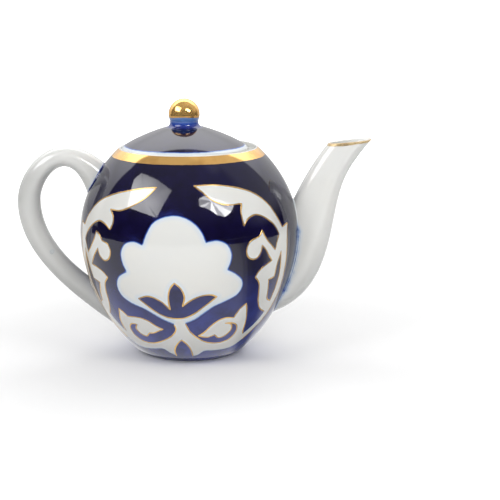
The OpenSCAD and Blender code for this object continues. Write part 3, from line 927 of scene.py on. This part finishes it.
def stage_mesh(name, corners, faces, material):
    mesh = bpy.data.meshes.new(name)
    mesh.from_pydata(corners, [], faces)
    mesh.materials.append(material)
    obj = add_object(name, mesh)
    return obj


def floor(name, size, nodes):
    nodes.set("Roughness", 0.6)
    nodes.set("Specular IOR Level", 0.15)
    corners = [(-size, -size, 0), (size, -size, 0), (size, size, 0), (-size, size, 0)]
    return stage_mesh(name, corners, [[0, 1, 2, 3]], nodes.made)


def shade_over(n, value, values, shades):
    """A number that goes from one shade to the other as value goes from one of values to the other."""
    sockets = {"Value": value, "From Min": values[0], "From Max": values[1],
               "To Min": shades[0], "To Max": shades[1]}
    return n.add("ShaderNodeMapRange", sockets).outputs[0]


# The floor that is seen is whiter than the one that lights the pot from below, as in a retouched picture: it
# glows more and more with distance from the pot, painted light where there is no lamp.
white = Nodes("glowing_floor")
far = white.add("ShaderNodeVectorMath", {0: white.coordinates["Object"]}, operation="LENGTH")
white.set("Base Color", (0.93, 0.93, 0.93))
white.set("Emission Color", (1, 1, 1))
white.set("Emission Strength", shade_over(white, far.outputs["Value"], (0.10, 1.2), (0, 0.8)))
floor("floor", 9, white).visible_diffuse = False
# The lighting one is bright in front of the pot, and dull beside and behind it.
grey = Nodes("floor_grey")
grey.set("Base Color", shade_over(grey, grey.axes()["Y"], (-0.09, 0), (0.98, 0.45)))
dull_floor = floor("floor_below", 3, grey)
dull_floor.location.z = -0.0005
dull_floor.visible_camera = dull_floor.visible_glossy = dull_floor.visible_shadow = False


def card(name, corners, faces, glow, strength, domain="POINT", creased=0):
    """A studio card that only shows in reflections. glow is its brightness at each point or face, and
    creased is how far soft creases change it."""
    n = Nodes(name, "ShaderNodeEmission")
    obj = stage_mesh(name, corners, faces, n.made)
    obj.visible_camera = obj.visible_diffuse = obj.visible_shadow = False
    obj.visible_transmission = obj.visible_volume_scatter = False
    set_attribute(obj, "glow", glow, domain)
    creases = n.math("MULTIPLY_ADD", n.noise(2, 1), 2 * creased * strength, (1 - creased) * strength)
    n.set("Strength", n.math("MULTIPLY", creases, n.attribute("glow")))


def sector(name, start, end, near, far, height, strength, dip=0):
    """A flat card on the floor between two azimuths and two radii, dimmed by dip about SHADE_AT."""
    steps = 72
    turns = np.linspace(start, end, steps + 1)
    both = np.append(turns, turns[::-1])
    radii = np.repeat([near, far], steps + 1)
    edge = [(r * math.sin(t), -r * math.cos(t), height) for r, t in zip(radii, np.radians(both))]
    last = len(edge) - 1
    faces = [[k, k + 1, last - 1 - k, last - k] for k in range(steps)]
    card(name, edge, faces, 1 - dip * np.exp(-((both - SHADE_AT) / SHADE_WIDTH) ** 4), strength)


def mirror_card(name, places, glow, strength, domain="POINT", distance=1.3):
    """A creased card that the pot mirrors to the camera at these places (azimuth, height). It is a
    fan about the first place. glow is the brightness at each place, or of each blade."""
    at, up = on_pot(*np.array(places, float).T)
    seen = unit(at * MM - np.array(CAM_AT))
    back = seen - 2 * (seen * up).sum(1, keepdims=True) * up
    last = len(places) - 1
    faces = [[0, k, k % last + 1] for k in range(1, last + 1)]
    card(name, (at * MM + back * distance).tolist(), faces, glow, strength, domain, 0.6)


def world_shader():
    """White for the camera. In the glaze it is a dim room with a white sweep behind the pot and a grey
    panel on its right. Soft light comes mostly from above and behind."""
    n = Nodes("studio", "ShaderNodeBackground", world=True)
    bpy.context.scene.world = n.made

    def plus(a, b):
        return n.math("ADD", a, b)

    def times(a, b):
        return n.math("MULTIPLY", a, b)

    def step(value, start, end):
        """0 at start, 1 at end, straight between them and level outside them."""
        return n.math("MULTIPLY", n.math("SUBTRACT", value, start), 1 / (end - start), clamp=True)

    def turn(start, end):
        """The same for the azimuth."""
        return step(azimuth, math.radians(start), math.radians(end))

    def pick(share, a, b):
        return plus(a, times(share, n.math("SUBTRACT", b, a)))

    x, y, up = n.axes("Generated")
    azimuth = n.math("ARCTAN2", x, times(y, -1))
    beside = n.math("ADD", turn(SWEEP_RIGHT - 1, SWEEP_RIGHT + 1), turn(SWEEP_LEFT + 1, SWEEP_LEFT - 1),
                    clamp=True)
    slope = n.math("DIVIDE", up, n.math("MAXIMUM", y, 0.001))
    in_sweep = times(beside, step(slope, SWEEP_TOP + 0.15, SWEEP_TOP - 0.15))
    sweep = plus(plus(times(up, 2.3), 0.75), times(step(up, 0.45, 0.8), 1.2))
    panel = times(turn(58, 84), step(up, 0.06, 0.30))
    panel = n.math("MAXIMUM", panel, times(turn(20, 65), step(up, 0.80, 0.90)))
    room = plus(times(step(up, 0.25, 1), 0.36), 0.05)
    mirrored = pick(in_sweep, n.math("MAXIMUM", times(panel, 0.66), room), sweep)
    soft = plus(times(step(y, -0.5, 0.9), 0.45), 0.30)
    soft = plus(plus(soft, times(step(up, 0, 1), 0.30)), times(step(x, -0.4, 1), 0.15))
    ray = n.add("ShaderNodeLightPath").outputs
    n.set("Strength", pick(ray["Is Camera Ray"], pick(ray["Is Diffuse Ray"], mirrored, soft), 1.05))


world_shader()
sector("table_mirrored", -180, 180, 0.03, TABLE_R, 0.003, 1.05, 0.8)
sector("dark_room_floor", -120, 120, TABLE_R, FAR_R, 0.004, 0.06)
sector("bright_sweep_floor", 120, 240, TABLE_R, FAR_R, 0.003, 0.75)
softbox_places = [(-24.6, 98.6), (-36.3, 108.1), (-32.9, 111.6), (-32.5, 111.7), (-32, 111.5), (-9.9, 103.4),
                  (-16.8, 89.6), (-17.4, 88.9), (-18.1, 89.1), (-35.1, 93.4), (-35.6, 99.9)]
mirror_card("softbox", softbox_places, [1.0, 0.7, 0.55, 0.2, 0.5, 0.42, 0.55, 0.05, 0.65, 0.85, 0.95], 7)
foil_places = [(12.5, 97.2), (9, 100.6), (5.4, 99.1), (5.5, 95.5), (8.1, 94.9), (11.8, 93.2),
               (15.3, 90.4), (19, 89.4), (22.7, 91.5), (25.1, 94.5), (21.8, 96.3), (15.1, 98.6)]
blade_glows = [0.5, 0.2, 0.6, 0.3, 0.9, 0.3, 0.7, 0.35, 0.15, 0.35, 0.8]
mirror_card("crumpled_reflector", foil_places, blade_glows, 24, "FACE")


def area(name, at, aim_height, size, power):
    """A soft light that faces the axis and isn't mirrored itself."""
    light = bpy.data.lights.new(name, "AREA")
    light.energy, light.size = power, size
    obj = add_object(name, light)
    obj.location = at
    obj.rotation_mode = "QUATERNION"
    obj.rotation_quaternion = (Vector((0, 0, aim_height)) - Vector(at)).to_track_quat("-Z", "Y")
    obj.visible_camera = obj.visible_glossy = False


area("left_softbox", (-0.95, -0.85, 1.0), 0.08, 0.6, 6)
area("right_softbox", (0.75, -0.95, 1.2), 0.08, 0.7, 4.6)
area("front_softbox", (0, -1.35, 0.42), 0.05, 0.6, 6.3)
area("back_softbox", (0.45, 1.2, 0.9), 0.08, 0.8, 5)

camera_data = bpy.data.cameras.new("camera")
camera_data.sensor_width = 36
camera_data.lens = 124.1
camera_data.shift_x, camera_data.shift_y = 0.1218, -0.0514
camera = add_object("camera", camera_data)
bpy.context.scene.camera = camera
camera.location = CAM_AT
camera.rotation_mode = "QUATERNION"
facing = (CAM_AIM - camera.location).to_track_quat("-Z", "Y")
roll = Matrix.Rotation(CAM_ROLL, 3, "Z").to_quaternion()
camera.rotation_quaternion = facing @ roll
bpy.context.scene.view_settings.view_transform = "Standard"
